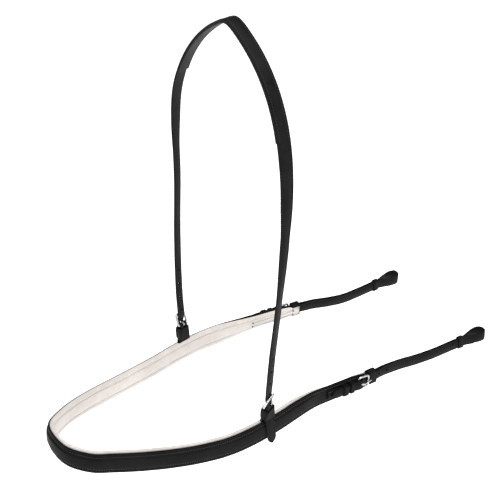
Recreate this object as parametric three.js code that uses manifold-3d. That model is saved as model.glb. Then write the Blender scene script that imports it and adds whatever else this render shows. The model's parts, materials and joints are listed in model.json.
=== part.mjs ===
// A breast collar for a riding horse: a padded strap round the chest, held up by a neck strap,
// with a buckled girth strap behind each shoulder. Millimetres, +Z up, the horse faces -Y and
// its left side is +X. The origin is where the middle of the neck strap rests on the neck.
import * as THREE from 'three';
import { mergeVertices } from 'three/addons/utils/BufferGeometryUtils.js';
import Module from 'manifold-3d';

const wasm = await Module();
wasm.setup();

// ---- driving dimensions ----
const GAP = 0.3; // air between pieces that touch
const FLARE = Math.tan(THREE.MathUtils.degToRad(-3)); // the breast strap leans in at its top edge

const BREAST_WIDTH = 32.5;
const FLANGE = 2.6; // leather thickness beside the raised middle
const RAISED = 4.8; // height of the raised middle above the back face
const FILLER_DEPTH = 2.0;
const LINING_THICKNESS = 6.5;
const LINING_OVERHANG = 2; // lining past each leather edge
const PAD_END_Y = 184;
const LINING_STOP = 3; // the lining stops this far short of the leather's end

const NECK_THICKNESS = 2.8;
const CROWN_LINING = 1.8;
const NECK_WIDTH = 20;
const BILLET_WIDTH = 14;
const BILLET_THICKNESS = 2.6;
const HOLE_RADIUS = 2;
const HOLE_PITCH = 22;
const TONGUE_HOLE = 50; // the billet hole in use, above the middle of the breast strap

const HANGER_Y = { 1: -14.5, '-1': -23 }; // where the left and right hangers stand on the breast strap
const HANGER_TWIST = THREE.MathUtils.degToRad(22);
const HANGER_SLANT = { 1: THREE.MathUtils.degToRad(5), '-1': 0 }; // forwards, along the breast strap
const HANGER_LEAN = { 1: THREE.MathUtils.degToRad(15), '-1': THREE.MathUtils.degToRad(9) }; // outwards
const HANGER_BAR = 46; // buckle bar above the middle of the breast strap
const HANGER_RISE = 4;
const CHAPE_THICKNESS = 1.5;
const CHAPE_WIDTH = 14.8;

const WIRE = 1.6; // buckle wire radius
const BUCKLE_LENGTH = 18; // between the centres of its two bars
const BUCKLE_HALF = 9.3; // middle of a side arm from the buckle's centre line

const GIRTH_WIDTH = 14;
const GIRTH_REAR_WIDTH = 16.4;
const GIRTH_THICKNESS = 2.4;
const GIRTH_CHAPE = 1.6;
const GIRTH_BAR = -36; // along the arm from the leather's end, rear positive
const GIRTH_BAR_HEIGHT = 6.4;
const GIRTH_RISE = 0.8;
const KEEPER_WALL = 1.3;
const KEEPER_PLAY = 0.4;
const LOOP_START = { 1: 178, '-1': 161 }; // where each girth loop opens behind its keeper

// ---- finishes ----
const leather = { color: 0x1b1b1d, roughness: 0.55, metalness: 0 };
const lining = { color: 0xe9e0da, roughness: 0.85, metalness: 0 };
const felt = { color: 0x8f8a82, roughness: 0.95, metalness: 0 };
const steel = { color: 0xc9ccd0, roughness: 0.25, metalness: 1 };

const collar = new THREE.Group();

function addPiece(name, geometry, finish) {
  const piece = new THREE.Mesh(geometry, new THREE.MeshStandardMaterial(finish));
  piece.name = name;
  collar.add(piece);
  return piece;
}

// ---- solids and cuts ----
function toSolid(geometry) {
  const plain = geometry.clone();
  plain.deleteAttribute('normal');
  plain.deleteAttribute('uv');
  const merged = mergeVertices(plain, 1e-4);
  return new wasm.Manifold(new wasm.Mesh({
    numProp: 3,
    vertProperties: Float32Array.from(merged.attributes.position.array),
    triVerts: Uint32Array.from(merged.index.array),
  }));
}

function fromSolid(solid) {
  const mesh = solid.getMesh();
  const geometry = new THREE.BufferGeometry();
  geometry.setAttribute('position', new THREE.BufferAttribute(mesh.vertProperties, 3));
  geometry.setIndex(new THREE.BufferAttribute(mesh.triVerts, 1));
  geometry.computeVertexNormals();
  return geometry;
}

function cut(geometry, cutters) {
  let solid = toSolid(geometry);
  for (const cutter of cutters) {
    solid = solid.subtract(toSolid(cutter));
  }
  return fromSolid(solid);
}

function join(first, second) {
  return fromSolid(toSolid(first).add(toSolid(second)));
}

// ---- straps: a flat section carried from station to station ----
// A station holds its point, the direction across the strap, and a width factor.
function faceOutwards(geometry) {
  const position = geometry.attributes.position;
  const corner = [new THREE.Vector3(), new THREE.Vector3(), new THREE.Vector3()];
  let volume = 0;
  for (let i = 0; i < position.count; i += 3) {
    corner.forEach((c, k) => c.fromBufferAttribute(position, i + k));
    volume += corner[0].dot(corner[1].clone().cross(corner[2]));
  }
  if (volume > 0) return;
  for (let i = 0; i < position.count; i += 3) {
    corner[1].fromBufferAttribute(position, i + 1);
    corner[2].fromBufferAttribute(position, i + 2);
    position.setXYZ(i + 1, ...corner[2].toArray());
    position.setXYZ(i + 2, ...corner[1].toArray());
  }
}

function strap(stations, section, hole = null) {
  const steps = stations.length - 1;
  const outline = new THREE.Shape(section.map(([x, y]) => new THREE.Vector2(x, y)));
  if (hole) outline.holes.push(new THREE.Path(hole.map(([x, y]) => new THREE.Vector2(x, y))));
  const geometry = new THREE.ExtrudeGeometry(outline, { depth: 1, steps, bevelEnabled: false });
  const frames = stations.map((station, i) => {
    const before = stations[Math.max(i - 1, 0)].point;
    const after = stations[Math.min(i + 1, steps)].point;
    const along = after.clone().sub(before).normalize();
    const across = station.across.clone().addScaledVector(along, -along.dot(station.across)).normalize();
    return { across, normal: along.cross(across).normalize() };
  });
  const position = geometry.attributes.position;
  for (let i = 0; i < position.count; i += 1) {
    const step = Math.round(position.getZ(i) * steps);
    const station = stations[step];
    const x = position.getX(i);
    const y = position.getY(i);
    const rise = station.raise === undefined ? y : station.raise(y, x);
    const place = station.point.clone();
    place.addScaledVector(frames[step].across, x * (station.width ?? 1));
    place.addScaledVector(frames[step].normal, rise);
    position.setXYZ(i, place.x, place.y, place.z);
  }
  faceOutwards(geometry);
  geometry.computeVertexNormals();
  return geometry;
}

function rectangle(width, low, high) {
  return [[-width / 2, low], [width / 2, low], [width / 2, high], [-width / 2, high]];
}

// Points of a flat outline, with extra points so that no step is longer than the given one.
function refine(points, longest) {
  const fine = [points[0]];
  for (let i = 1; i < points.length; i += 1) {
    const [x0, y0] = points[i - 1];
    const [x1, y1] = points[i];
    const count = Math.ceil(Math.hypot(x1 - x0, y1 - y0) / longest);
    for (let k = 1; k <= count; k += 1) {
      fine.push([x0 + ((x1 - x0) * k) / count, y0 + ((y1 - y0) * k) / count]);
    }
  }
  return fine;
}

// A value read from a short list of [place, value] pairs, straight between them.
function readBetween(pairs, place) {
  if (place <= pairs[0][0]) return pairs[0][1];
  for (let i = 1; i < pairs.length; i += 1) {
    const [x1, v1] = pairs[i];
    const [x0, v0] = pairs[i - 1];
    if (place <= x1) return v0 + ((v1 - v0) * (place - x0)) / (x1 - x0);
  }
  return pairs[pairs.length - 1][1];
}

function smooth(t) {
  return 0.5 - 0.5 * Math.cos(Math.PI * THREE.MathUtils.clamp(t, 0, 1));
}

// ---- the line of the breast strap ----
// It runs along the middle of the leather's back face, from the right girth loop round the chest
// to the left one. Each arm is straight where its buckle lies and again at its loop keeper.
const chestPoints = [
  [28, -284.5, -551.3], [51, -260, -558.3], [63, -236, -560.8], [77, -199, -566.3], [89, -158, -572.3],
  [99, -117, -576.3], [106.5, -76, -577.3], [110.5, -35, -572.8], [109.5, 6, -567.3], [105.5, 40, -564.3],
];
const buckleRun = { start: [101.8, 70, -563.8], direction: [-4.5, 135, -8.5], reach: [0, 34, 68, 102, 136] };
const loopRun = { start: [95.5, 300, -584.8], direction: [3, 100, 1.5], reach: [0, 30, 60, 130] };

function straightRun({ start, direction, reach }) {
  const along = new THREE.Vector3(...direction).normalize();
  return reach.map((distance) => new THREE.Vector3(...start).addScaledVector(along, distance));
}

const leftHalf = [
  ...chestPoints.map((p) => new THREE.Vector3(...p)),
  ...straightRun(buckleRun),
  new THREE.Vector3(94.5, 236, -577.8),
  new THREE.Vector3(94, 268, -583.3),
  ...straightRun(loopRun),
];
const rightHalf = leftHalf.map((p) => new THREE.Vector3(-p.x, p.y, p.z)).reverse();
const chestLine = new THREE.CatmullRomCurve3(
  [...rightHalf, new THREE.Vector3(0, -291, -547.3), ...leftHalf], false, 'centripetal',
);
chestLine.arcLengthDivisions = 3000;
const lineLength = chestLine.getLength();

function linePoint(s) {
  return chestLine.getPointAt(0.5 + s / lineLength);
}

// Directions at a length s from the middle of the chest, the left side positive:
// along the strap, up across its width, and out of its face.
function lineFrame(s) {
  const along = linePoint(s + 2).sub(linePoint(s - 2)).normalize();
  const up = new THREE.Vector3(0, 0, 1);
  up.addScaledVector(new THREE.Vector3().crossVectors(along, up).normalize(), FLARE);
  up.addScaledVector(along, -along.dot(up)).normalize();
  return { point: linePoint(s), along, up, out: new THREE.Vector3().crossVectors(along, up) };
}

function lengthAtY(y) {
  let low = 0;
  let high = lineLength / 2 - 3;
  for (let i = 0; i < 40; i += 1) {
    const middle = (low + high) / 2;
    if (linePoint(middle).y < y) low = middle;
    else high = middle;
  }
  return low;
}

const padEnd = lengthAtY(PAD_END_Y);
const hangerPlace = { 1: lengthAtY(HANGER_Y[1]), '-1': lengthAtY(HANGER_Y[-1]) };

// The layers of the breast strap share these places, so that their facets lie parallel.
// They are closer together round the curve of the chest.
const layerPlaces = [0];
for (let s = 7; s < padEnd; s += s < 84 ? 7 : 14) {
  layerPlaces.push(s);
  layerPlaces.unshift(-s);
}

function layerStations(reach, describe) {
  const inner = layerPlaces.filter((s) => Math.abs(s) < reach - 4);
  return [-reach, ...inner, reach].map((s) => {
    const frame = lineFrame(s);
    return { point: frame.point, across: frame.up, ...describe(s) };
  });
}

// ---- breast strap, its filler and its padded lining ----
// Width of the leather by distance before its end.
const widthPairs = [[0, 18], [16, 18], [45, 27], [110, 29.5], [150, BREAST_WIDTH]];
const raisedPairs = [[106, 0.08], [134, 1]];
const overhangPairs = [[14, -1], [50, -2.2], [90, -2.2], [150, LINING_OVERHANG]];
const paddingPairs = [[90, 0.86], [150, 1]];
// Share of the padding's depth left at the lining's edges: the pad thins towards them on the arms.
const edgePadding = [[26, 1], [50, 0.45], [100, 0.45], [150, 1]];

function breastWidth(s) {
  return readBetween(widthPairs, padEnd - Math.abs(s));
}

const edge = BREAST_WIDTH / 2;
const leatherSection = [
  [-edge, 0], [-8.5, 0], [-7.5, FILLER_DEPTH], [7.5, FILLER_DEPTH], [8.5, 0], [edge, 0],
  [edge, FLANGE], [10, FLANGE], [8.2, RAISED], [-8.2, RAISED], [-10, FLANGE], [-edge, FLANGE],
];
addPiece('breast_strap', strap(layerStations(padEnd, (s) => {
  const share = readBetween(raisedPairs, padEnd - Math.abs(s));
  return {
    width: breastWidth(s) / BREAST_WIDTH,
    raise: (y) => (y > FLANGE ? FLANGE + (y - FLANGE) * share : y === FILLER_DEPTH ? y * share : y),
  };
}), leatherSection), leather);

const fillerReach = padEnd - 150;
const fillerSection = rectangle(14, GAP, FILLER_DEPTH - GAP);
addPiece('breast_strap_filler', strap(
  layerStations(fillerReach, (s) => ({ width: breastWidth(s) / BREAST_WIDTH })), fillerSection,
), felt);

function liningGeometry() {
  const half = BREAST_WIDTH / 2 + LINING_OVERHANG;
  const back = -GAP - LINING_THICKNESS;
  const flat = half / 2;
  const section = [
    [-half, -1.9], [-half + 1.6, -GAP], [half - 1.6, -GAP], [half, -1.9],
    [half, back + 2], [half - 2.4, back], [flat, back], [-flat, back], [-half + 2.4, back], [-half, back + 2],
  ];
  const reach = padEnd - LINING_STOP;
  const body = strap(layerStations(reach, (s) => ({
    width: (breastWidth(s) + 2 * readBetween(overhangPairs, padEnd - Math.abs(s))) / (2 * half),
    raise: (y, x) => {
      const before = padEnd - Math.abs(s);
      const edge = y < -2 && Math.abs(x) > flat + 1 ? readBetween(edgePadding, before) : 1;
      return (y + GAP) * readBetween(paddingPairs, before) * edge - GAP;
    },
  })), section);
  const cutters = [];
  for (const side of [1, -1]) {
    const foot = [21, 17, 8, -4.6].map((h) => hangerStation(side, h, 0));
    cutters.push(strap(foot, rectangle(CHAPE_WIDTH + 1, -4.7, 0.1)));
    const end = [-17, -8, 4].map((x) => armStation(side, x, 0));
    if (side < 0) end.reverse();
    cutters.push(strap(end, rectangle(26, -GAP - GIRTH_THICKNESS - 2.3, 0.1)));
    const leg = [-46, -30, 4].map((x) => armStation(side, x, 0));
    if (side < 0) leg.reverse();
    cutters.push(strap(leg, rectangle(GIRTH_WIDTH + 1, -GAP - GIRTH_THICKNESS - 0.4, 0.1)));
  }
  return cut(body, cutters);
}

// ---- hangers: a place above the breast strap where the neck strap buckles on ----
// h runs up from the middle of the breast strap, n out of its face, a along it.
// Above the leather the hanger leans outwards and turns about its own length.
function hangerFrame(side, h) {
  const foot = lineFrame(side * hangerPlace[side]);
  const level = foot.along.clone().setZ(0).normalize();
  const up0 = new THREE.Vector3(0, 0, 1);
  up0.addScaledVector(new THREE.Vector3().crossVectors(level, up0), FLARE).normalize();
  const out0 = new THREE.Vector3().crossVectors(level, up0);
  up0.applyAxisAngle(out0, HANGER_SLANT[side]);
  level.applyAxisAngle(out0, HANGER_SLANT[side]);
  const clear = BREAST_WIDTH / 2 + LINING_OVERHANG;
  const share = (place) => smooth((place - clear) / (HANGER_BAR - 6 - clear));
  const upAt = (place) => {
    const lean = HANGER_LEAN[side] * share(place);
    return up0.clone().multiplyScalar(Math.cos(lean)).addScaledVector(out0, Math.sin(lean));
  };
  const point = foot.point.clone();
  if (h < 0) point.addScaledVector(up0, h);
  for (let k = 0; k < h; k += 1) {
    point.addScaledVector(upAt(k + 0.5), Math.min(1, h - k));
  }
  const up = upAt(h);
  const leaning = new THREE.Vector3().crossVectors(level, up);
  const turn = HANGER_TWIST * share(h);
  const across = level.clone().multiplyScalar(Math.cos(turn)).addScaledVector(leaning, -Math.sin(turn));
  const out = leaning.multiplyScalar(Math.cos(turn)).addScaledVector(level, Math.sin(turn));
  return { point, up, across, out };
}

function hangerStation(side, h, n) {
  const frame = hangerFrame(side, h);
  return { point: frame.point.addScaledVector(frame.out, n), across: frame.across };
}

function hangerMatrix(side) {
  const frame = hangerFrame(side, HANGER_BAR);
  const across = new THREE.Vector3().crossVectors(frame.out, frame.up);
  return new THREE.Matrix4().makeBasis(frame.up, across, frame.out).setPosition(frame.point);
}

// ---- buckles ----
// Built round the bar that the chape folds over: X towards the far bar, Y along the bar, Z outwards.
function buckleFrame(rise) {
  const half = BUCKLE_LENGTH / 2;
  const corner = 3.2;
  const outline = new THREE.Path();
  outline.absarc(half * 2 - corner, BUCKLE_HALF - corner, corner, 0, Math.PI / 2);
  outline.absarc(corner, BUCKLE_HALF - corner, corner, Math.PI / 2, Math.PI);
  outline.absarc(corner, corner - BUCKLE_HALF, corner, Math.PI, Math.PI * 1.5);
  outline.absarc(half * 2 - corner, corner - BUCKLE_HALF, corner, Math.PI * 1.5, Math.PI * 2);
  outline.closePath();
  const path = outline.getPoints(2).filter((p, i, all) => i === 0 || p.distanceTo(all[i - 1]) > 0.01);
  if (path[0].distanceTo(path[path.length - 1]) < 0.01) path.pop();
  const around = path.length;
  const geometry = new THREE.TorusGeometry(half, WIRE, 8, around);
  const { position, uv } = geometry.attributes;
  const slope = rise / BUCKLE_LENGTH;
  for (let i = 0; i < position.count; i += 1) {
    const k = Math.round(uv.getX(i) * around) % around;
    const turn = uv.getY(i) * Math.PI * 2 + Math.PI / 8;
    const along = path[(k + 1) % around].clone().sub(path[(k + around - 1) % around]).normalize();
    const x = path[k].x + along.y * WIRE * Math.cos(turn);
    const y = path[k].y - along.x * WIRE * Math.cos(turn);
    position.setXYZ(i, x, y, path[k].x * slope + WIRE * Math.sin(turn));
  }
  geometry.deleteAttribute('normal');
  geometry.deleteAttribute('uv');
  const merged = mergeVertices(geometry, 1e-4);
  merged.computeVertexNormals();
  return merged;
}

function buckleTongue(rise) {
  const eyeWidth = 3.2;
  const inner = WIRE + GAP;
  const outer = 3.3;
  const profile = [[inner, -1], [outer, -1], [outer, 1], [inner, 1], [inner, -1]];
  const eye = new THREE.LatheGeometry(profile.map(([r, y]) => new THREE.Vector2(r, (y * eyeWidth) / 2)), 16);
  const reach = BUCKLE_LENGTH;
  const route = new THREE.CatmullRomCurve3([
    [1.3, 2.1], [3.4, 4.9], [6, 6.2 + rise * 0.2], [reach / 2, 5.6 + rise * 0.45],
    [reach, rise + 2.95], [reach + 5, rise + 2.6],
  ].map(([x, z]) => new THREE.Vector3(x, 0, z)), false, 'centripetal');
  const stations = [];
  const steps = 12;
  for (let i = 0; i <= steps; i += 1) {
    const t = i / steps;
    stations.push({ point: route.getPoint(t), across: new THREE.Vector3(0, 1, 0), width: 1 - 0.45 * t });
  }
  const prong = strap(stations, [[-1.4, -0.7], [-0.9, -1.1], [0.9, -1.1], [1.4, -0.7],
    [1.4, 0.7], [0.9, 1.1], [-0.9, 1.1], [-1.4, 0.7]]);
  return join(eye, prong);
}

// Height of a strap through a buckle, from over the near bar to under the far one.
function throughBuckle(x, high, low) {
  return high + (low - high) * smooth(x / BUCKLE_LENGTH);
}

function boxAt(matrix, size, centre) {
  return new THREE.BoxGeometry(...size).translate(...centre).applyMatrix4(matrix);
}

function punch(matrix, x, z) {
  const punchLength = 16;
  const hole = new THREE.CylinderGeometry(HOLE_RADIUS, HOLE_RADIUS, punchLength, 10);
  return hole.rotateX(Math.PI / 2).translate(x, 0, z).applyMatrix4(matrix);
}

// The slot that lets a tongue through a strap, and the one that lets its eye through a chape.
function tongueSlot(matrix, z) {
  return boxAt(matrix, [8, 3.8, 7], [3.2, 0, z]);
}

function eyeSlot(matrix) {
  return boxAt(matrix, [11.5, 4.6, 9], [0.2, 0, 0]);
}

// A fold round a bar, as points of a half circle from below it to above it.
function foldPoints(x, z, radius) {
  const points = [];
  const arcSteps = 6;
  for (let i = 0; i <= arcSteps; i += 1) {
    const angle = -Math.PI / 2 + (Math.PI * i) / arcSteps;
    points.push([x + radius * Math.cos(angle), z + radius * Math.sin(angle)]);
  }
  return points;
}

// ---- hanger pieces ----
const hangerHigh = WIRE + GAP + CHAPE_THICKNESS + GAP + BILLET_THICKNESS / 2;
const hangerLow = HANGER_RISE - WIRE - GAP - BILLET_THICKNESS / 2;
const frontLeg = -GAP - CHAPE_THICKNESS / 2;
const rearLeg = frontLeg - CHAPE_THICKNESS - GAP;
const tailHeight = RAISED + GAP + BILLET_THICKNESS / 2;

function hangerChape(side) {
  const fold = WIRE + GAP + CHAPE_THICKNESS / 2;
  const path = refine([
    [-4, rearLeg], [17, rearLeg], [30, rearLeg + 0.2], [42, -fold],
    ...foldPoints(HANGER_BAR, 0, fold),
    [42, fold], [34, 1.8], [25, 0], [17, frontLeg], [-4, frontLeg],
  ], 4);
  const stations = path.map(([h, n]) => ({
    ...hangerStation(side, h, n),
    width: readBetween([[38, 1], [43, (BILLET_WIDTH - 0.4) / CHAPE_WIDTH]], h),
  }));
  const body = strap(stations, rectangle(CHAPE_WIDTH, -CHAPE_THICKNESS / 2, CHAPE_THICKNESS / 2));
  return cut(body, [eyeSlot(hangerMatrix(side))]);
}

function hangerKeeper(side) {
  const stations = refine([[41, 0], [20, 0]], 3).map(([h, n]) => hangerStation(side, h, n));
  const half = CHAPE_WIDTH / 2 + KEEPER_PLAY;
  const wall = 1;
  const low = rearLeg - CHAPE_THICKNESS / 2 - KEEPER_PLAY;
  const high = 7.3;
  const outside = rectangle(2 * (half + wall), low - wall, high + wall);
  return strap(stations, outside, rectangle(2 * half, low, high));
}

// ---- neck strap ----
// Height of the billet's middle above the hanger's bar line, by h.
function billetHeight(h) {
  if (h > HANGER_BAR) return throughBuckle(h - HANGER_BAR, hangerHigh, hangerLow);
  const heights = [
    [-24, tailHeight - 1], [-10, tailHeight], [12, tailHeight], [24, 4.7], [44, hangerHigh],
  ];
  return readBetween(heights, h);
}

const billetTop = 74;
const tipWidths = [[-25, 0.2], [-21, 0.62], [-15, 1]];
const neckPoints = [
  [125, -19, -432], [130, -15, -362], [133, -10, -282], [136, -8, -202], [131, -6, -143],
  [114, -2, -96], [90, 1, -60], [60, 2.4, -31], [28, 1.6, -9],
];
const neckWidths = [[-236, BILLET_WIDTH], [-196, 18], [-130, NECK_WIDTH]];
// Turn of the strap about its own length, by height, in degrees.
const leftTurns = [[-460, 22], [-330, 26], [-262, 4], [-30, 2], [0, 4]];
const rightTurns = [[-460, 22], [-330, 26], [-200, 22], [-60, 14], [0, 4]];

function billetStations(side) {
  const stations = [];
  for (let h = -25; h <= billetTop; h += h < -13 ? 2 : 3) {
    const station = hangerStation(side, h, billetHeight(h));
    station.across.multiplyScalar(side);
    station.width = (BILLET_WIDTH * readBetween(tipWidths, h)) / NECK_WIDTH;
    stations.push(station);
  }
  return stations;
}

function neckStations() {
  const lead = [billetTop, billetTop + 10, billetTop + 20];
  const side = (sign) => [
    ...lead.map((h) => hangerStation(sign, h, hangerLow).point),
    ...neckPoints.map(([x, y, z]) => new THREE.Vector3(x * sign, y, z)),
  ];
  const crown = new THREE.Vector3(0, 0, CROWN_LINING + GAP + NECK_THICKNESS / 2);
  const route = new THREE.CatmullRomCurve3([...side(1), crown, ...side(-1).reverse()], false, 'centripetal');
  const length = route.getLength();
  const stations = [];
  const count = 2 * Math.ceil(length / 32);
  for (let i = 1; i < count; i += 1) {
    const point = route.getPointAt(i / count);
    const turns = point.x > 0 ? leftTurns : rightTurns;
    const turn = THREE.MathUtils.degToRad(readBetween(turns, point.z));
    stations.push({
      point,
      across: new THREE.Vector3(-Math.sin(turn), Math.cos(turn), 0),
      width: readBetween(neckWidths, point.z) / NECK_WIDTH,
    });
  }
  return stations;
}

const crownStations = neckStations();

function neckStrap() {
  const stations = [...billetStations(1), ...crownStations, ...billetStations(-1).reverse()];
  const shallow = BILLET_THICKNESS / 2;
  for (const station of stations) {
    const swell = station.point.z < -430 ? shallow / (NECK_THICKNESS / 2) : 1;
    station.raise = (y) => y * swell;
  }
  const section = rectangle(NECK_WIDTH, -NECK_THICKNESS / 2, NECK_THICKNESS / 2);
  const cutters = [];
  for (const side of [1, -1]) {
    const matrix = hangerMatrix(side);
    cutters.push(tongueSlot(matrix, 5));
    for (const place of [-2, -1, 1]) {
      cutters.push(punch(matrix, TONGUE_HOLE - HANGER_BAR + place * HOLE_PITCH, 4));
    }
    for (const place of [2, 3, 4]) {
      const h = TONGUE_HOLE + place * HOLE_PITCH;
      cutters.push(punchNear(stations, hangerStation(side, h, hangerLow).point));
    }
  }
  return cut(strap(stations, section), cutters);
}

// A round hole square to the strap, at the station nearest the given point.
function punchNear(stations, point) {
  let best = 1;
  stations.forEach((station, i) => {
    if (station.point.distanceTo(point) < stations[best].point.distanceTo(point)) best = i;
  });
  const next = stations[best].point.distanceTo(stations[best + 1].point);
  const previous = stations[best].point.distanceTo(stations[best - 1].point);
  const along = stations[best + 1].point.clone().sub(stations[best - 1].point).normalize();
  const shift = THREE.MathUtils.clamp(point.clone().sub(stations[best].point).dot(along), -previous, next);
  const centre = stations[best].point.clone().addScaledVector(along, shift);
  const across = stations[best].across.clone().addScaledVector(along, -along.dot(stations[best].across));
  const out = along.clone().cross(across.normalize());
  return punch(new THREE.Matrix4().makeBasis(along, across, out).setPosition(centre), 0, 0);
}

function crownLining() {
  const offset = NECK_THICKNESS / 2 + GAP;
  const stations = crownStations
    .filter((station) => station.point.z > -112)
    .map((station) => ({ ...station, raise: undefined, width: 1 }));
  return strap(stations, rectangle(NECK_WIDTH - 2, offset, offset + CROWN_LINING));
}

// ---- girth straps ----
// Along an arm, x runs backwards from the end of the breast leather and n out of its face.
const innerLeg = -GAP - GIRTH_THICKNESS / 2;
const outerLeg = innerLeg + GIRTH_THICKNESS + GAP;
const overLeather = FLANGE + GAP + GIRTH_THICKNESS / 2;
const girthHigh = GIRTH_BAR_HEIGHT + WIRE + GAP + GIRTH_CHAPE + GAP + GIRTH_THICKNESS / 2;
const girthLow = GIRTH_BAR_HEIGHT + GIRTH_RISE - WIRE - GAP - GIRTH_THICKNESS / 2;
const chapeLow = FLANGE + GAP + GIRTH_CHAPE / 2;
const chapeOnKeeper = chapeLow + KEEPER_WALL + GAP;
const tailOnKeeper = chapeOnKeeper + 1.5 * GIRTH_CHAPE + 2 * GAP + GIRTH_THICKNESS / 2;

function armStation(side, x, n) {
  const frame = lineFrame(side * (padEnd + x));
  return { point: frame.point.addScaledVector(frame.out, n), across: frame.up };
}

function armMatrix(side, x, n) {
  const frame = lineFrame(side * (padEnd + x));
  const rear = frame.along.clone().multiplyScalar(side);
  const across = new THREE.Vector3().crossVectors(frame.out, rear);
  frame.point.addScaledVector(frame.out, n);
  return new THREE.Matrix4().makeBasis(rear, across, frame.out).setPosition(frame.point);
}

function girthPath(side) {
  const start = LOOP_START[side];
  const bend = (points) => new THREE.CatmullRomCurve3(
    points.map(([x, n]) => new THREE.Vector3(start + x, n, 0)), false, 'centripetal',
  ).getPoints(14).map((p) => [p.x, p.y]);
  // The loop's rear end is flat between its two bends.
  const loopPoints = [
    ...bend([[0, innerLeg], [7, -3.3], [16, -6.4], [26, -8.6], [34.3, -8], [39, -3.4]]),
    ...bend([[39, 3.2], [34.3, 7.8], [26, 8.4], [16, 6.2], [7, 3.1], [0, outerLeg]]),
  ];
  const buckled = [];
  for (let x = BUCKLE_LENGTH; x >= 0; x -= 2) {
    buckled.push([GIRTH_BAR + x, throughBuckle(x, girthHigh, girthLow)]);
  }
  return [
    ...refine([[-45, innerLeg], [start - 4, innerLeg]], 14),
    ...loopPoints,
    ...refine([[start - 4, outerLeg], [20, outerLeg]], 14),
    [14, outerLeg + 0.2], [8, outerLeg + 1.1], [2, overLeather], [-14, overLeather],
    ...buckled,
    ...refine([[-40, girthHigh - 0.5], [-44, tailOnKeeper + 0.5], [-47, tailOnKeeper],
      [-80, tailOnKeeper - 0.1]], 12),
    [-84, tailOnKeeper - 0.3], [-88, tailOnKeeper - 0.6],
  ];
}

// The strap is wider behind the padding than where it is buckled.
const rearWidening = [[2, 1], [14, GIRTH_REAR_WIDTH / GIRTH_WIDTH]];

function girthStrap(side) {
  const path = girthPath(side);
  const tipStart = path.length - 3;
  const stations = path.map(([x, n], i) => ({
    ...armStation(side, x, n),
    width: i > tipStart ? [0.62, 0.2][i - tipStart - 1] : readBetween(rearWidening, x),
  }));
  const body = strap(stations, rectangle(GIRTH_WIDTH, -GIRTH_THICKNESS / 2, GIRTH_THICKNESS / 2));
  const cutters = [tongueSlot(armMatrix(side, GIRTH_BAR, GIRTH_BAR_HEIGHT), 5)];
  for (const [x, n] of [[6, 3], [22, outerLeg], [-62, tailOnKeeper]]) {
    cutters.push(new THREE.CylinderGeometry(HOLE_RADIUS, HOLE_RADIUS, GIRTH_THICKNESS + 0.5, 10)
      .rotateX(Math.PI / 2).applyMatrix4(armMatrix(side, x, n)));
  }
  return cut(body, cutters);
}

function girthChape(side) {
  const fold = WIRE + GAP + GIRTH_CHAPE / 2;
  const topLeg = chapeOnKeeper + GIRTH_CHAPE + GAP;
  const path = refine([
    [-92, chapeLow], [-85, chapeLow], [-79, chapeOnKeeper], [-44, chapeOnKeeper], [-40, chapeLow + 0.6],
    ...foldPoints(GIRTH_BAR, GIRTH_BAR_HEIGHT, fold),
    [-40, GIRTH_BAR_HEIGHT + fold - 0.5], [-44, topLeg + 0.5], [-47, topLeg], [-79, topLeg],
    [-85, chapeLow + GIRTH_CHAPE + GAP], [-92, chapeLow + GIRTH_CHAPE + GAP],
  ], 16);
  const stations = path.map(([x, n]) => armStation(side, x, n));
  const body = strap(stations, rectangle(GIRTH_WIDTH - 0.4, -GIRTH_CHAPE / 2, GIRTH_CHAPE / 2));
  return cut(body, [eyeSlot(armMatrix(side, GIRTH_BAR, GIRTH_BAR_HEIGHT))]);
}

// The space inside each leather band: its two ends along the arm, half its width, and two heights.
function keeperHoles(side) {
  const half = GIRTH_WIDTH / 2 + KEEPER_PLAY;
  const backOfStrap = innerLeg - GIRTH_THICKNESS / 2;
  const low = FLANGE + GAP + KEEPER_WALL;
  const high = tailOnKeeper + GIRTH_THICKNESS / 2 + KEEPER_PLAY;
  const start = LOOP_START[side];
  return {
    fixed_keeper: { ends: [-54, -47], half, low, high },
    sliding_keeper: { ends: [-67, -58], half, low, high },
    end_keeper: {
      ends: [-15.5, -1],
      half: 9.4,
      low: backOfStrap - KEEPER_PLAY,
      high: overLeather + GIRTH_THICKNESS / 2 + KEEPER_PLAY,
    },
    loop_keeper: {
      ends: [start - 12, start - 3],
      half: GIRTH_REAR_WIDTH / 2 + KEEPER_PLAY,
      low: backOfStrap - KEEPER_PLAY,
      high: outerLeg + GIRTH_THICKNESS / 2 + KEEPER_PLAY,
    },
  };
}

function keeper(side, { ends, half, low, high }) {
  const stations = ends.map((x) => armStation(side, x, 0));
  if (side < 0) stations.reverse();
  const outside = rectangle(2 * (half + KEEPER_WALL), low - KEEPER_WALL, high + KEEPER_WALL);
  return strap(stations, outside, rectangle(2 * half, low, high));
}

// ---- assembly ----
addPiece('breast_lining', liningGeometry(), lining);
addPiece('neck_strap', neckStrap(), leather);
addPiece('neck_strap_lining', crownLining(), leather);

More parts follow.
